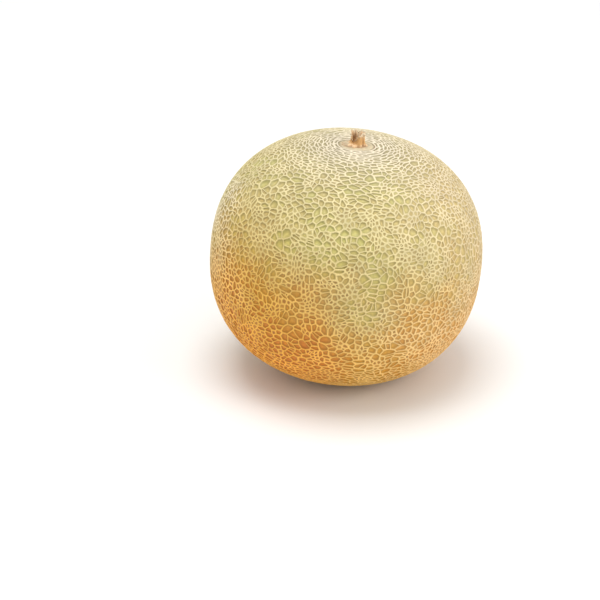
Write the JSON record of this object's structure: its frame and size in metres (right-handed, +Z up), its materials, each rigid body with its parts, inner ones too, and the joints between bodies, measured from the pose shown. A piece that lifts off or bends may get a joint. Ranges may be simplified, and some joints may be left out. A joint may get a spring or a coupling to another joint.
{
  "type": "cantaloupe melon",
  "caption": "Whole ripe cantaloupe melon with a raised corky net over its rind and a dried, broken stem stub, standing on its blossom end.",
  "frame": {"origin": "on the surface that the melon stands on, under the middle of its box", "axes": "+Z up, towards the stem; the stem end leans 4.5 degrees towards +X"},
  "size_m": [0.1306, 0.1293, 0.1218],
  "materials": {
    "netted_rind": "dull cream cork net on a tan to yellow-green skin",
    "dry_stem": "dry, fibrous, torn stem"
  },
  "bodies": {
    "root": {"fruit": "netted_rind", "stem_stub": "dry_stem"}
  },
  "joints": []
}
